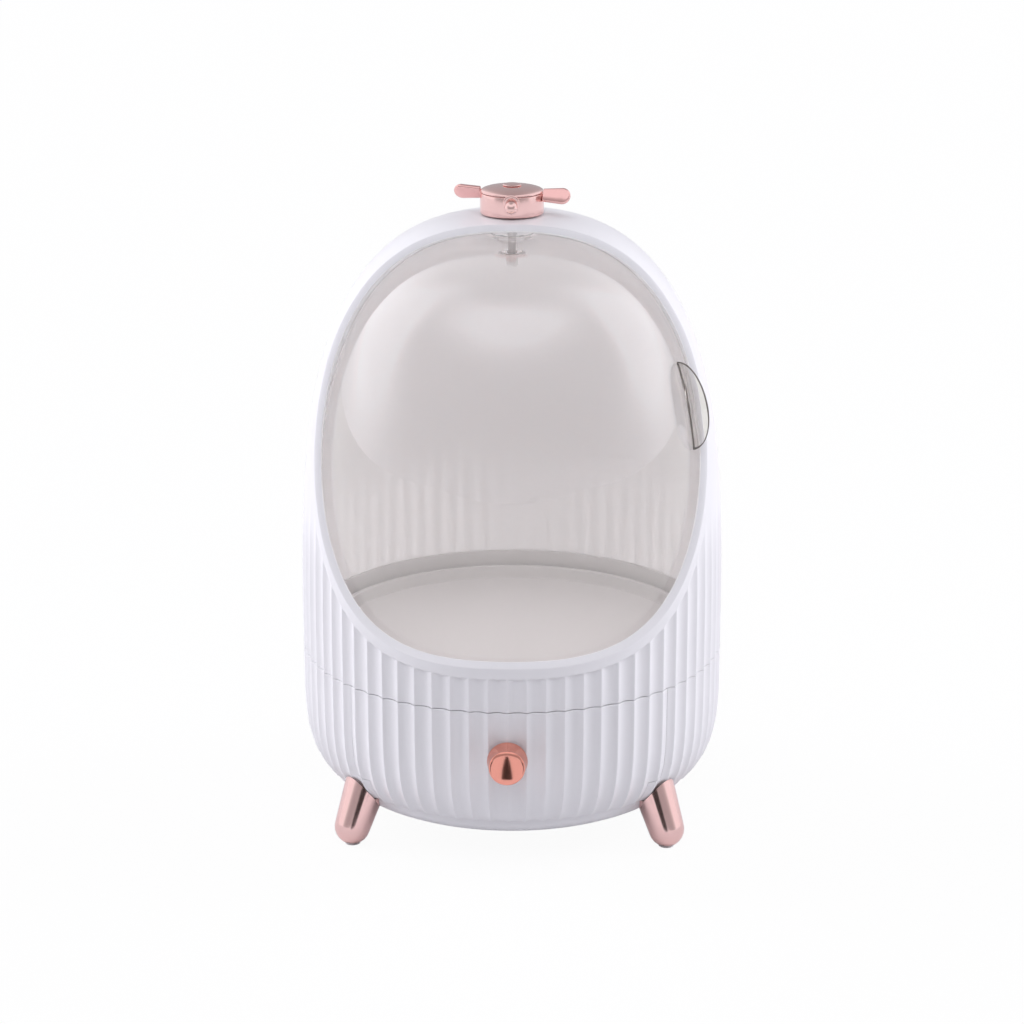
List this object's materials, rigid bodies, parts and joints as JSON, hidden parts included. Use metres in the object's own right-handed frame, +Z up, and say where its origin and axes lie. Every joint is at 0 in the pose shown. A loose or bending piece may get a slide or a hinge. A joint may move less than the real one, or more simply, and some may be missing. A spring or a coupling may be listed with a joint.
{
  "type": "dustproof makeup organizer",
  "caption": "Bell-shaped cosmetics organizer with a turning clear visor, a drawer with a round knob, splayed legs and a small propeller on top.",
  "frame": {"origin": "centre of the overall box, at the level of the four foot pads' undersides", "axes": "+Z up, front (window, visor and drawer knob) towards -Y, +X to the right seen from the front"},
  "size_m": [0.2508, 0.2636, 0.3783],
  "materials": {
    "shell_white": "glossy white moulded plastic",
    "inner_white": "satin white moulded plastic",
    "visor_clear": "clear moulded plastic with a slight warm grey tint, polished",
    "rose_gold": "rose gold plating, polished",
    "copper_plate": "copper coloured plating, polished",
    "screw_steel": "zinc plated",
    "soft_pad": "soft clear-white rubber"
  },
  "bodies": {
    "housing": {"upper_shell": "shell_white", "base_bowl": "shell_white", "partition_floor": "inner_white", "storage_tray": "inner_white", "visor_pivot_screw": "screw_steel", "visor_pivot_washer": "inner_white", "drawer_buffer": "soft_pad", "drawer_rail_right": "inner_white", "drawer_rail_left": "inner_white", "leg_front_left": "rose_gold", "leg_front_right": "rose_gold", "leg_rear_right": "rose_gold", "leg_rear_left": "rose_gold", "leg_screw_front_left": "screw_steel", "leg_screw_front_right": "screw_steel", "leg_screw_rear_right": "screw_steel", "leg_screw_rear_left": "screw_steel", "foot_pad_front_left": "soft_pad", "foot_pad_front_right": "soft_pad", "foot_pad_rear_right": "soft_pad", "foot_pad_rear_left": "soft_pad", "partition_screw_1": "screw_steel", "partition_screw_2": "screw_steel", "partition_screw_3": "screw_steel", "partition_screw_4": "screw_steel", "rotor_axle": "screw_steel"},
    "visor": {"visor": "visor_clear", "visor_pull_tab": "visor_clear"},
    "drawer": {"drawer_front": "shell_white", "drawer_box": "inner_white", "drawer_knob": "copper_plate", "drawer_knob_screw": "screw_steel"},
    "rotor": {"rotor_drum": "rose_gold", "rotor_cap": "rose_gold", "rotor_button": "rose_gold", "rotor_blade_left": "rose_gold", "rotor_blade_right": "rose_gold", "rotor_nose_ring": "rose_gold", "rotor_nose": "rose_gold"}
  },
  "joints": [
    {"name": "visor_turn", "type": "hinge", "parent": "housing", "child": "visor", "pos_m": [0, 0.0064, 0.345], "axis": [0, 0, 1], "range_deg": [-136, 0]},
    {"name": "drawer_slide", "type": "slide", "parent": "housing", "child": "drawer", "axis": [0, -1, 0], "range_m": [0, 0.1]},
    {"name": "rotor_spin", "type": "hinge", "parent": "housing", "child": "rotor", "pos_m": [0, 0.0064, 0.367], "axis": [0, 0, 1], "continuous": true}
  ]
}
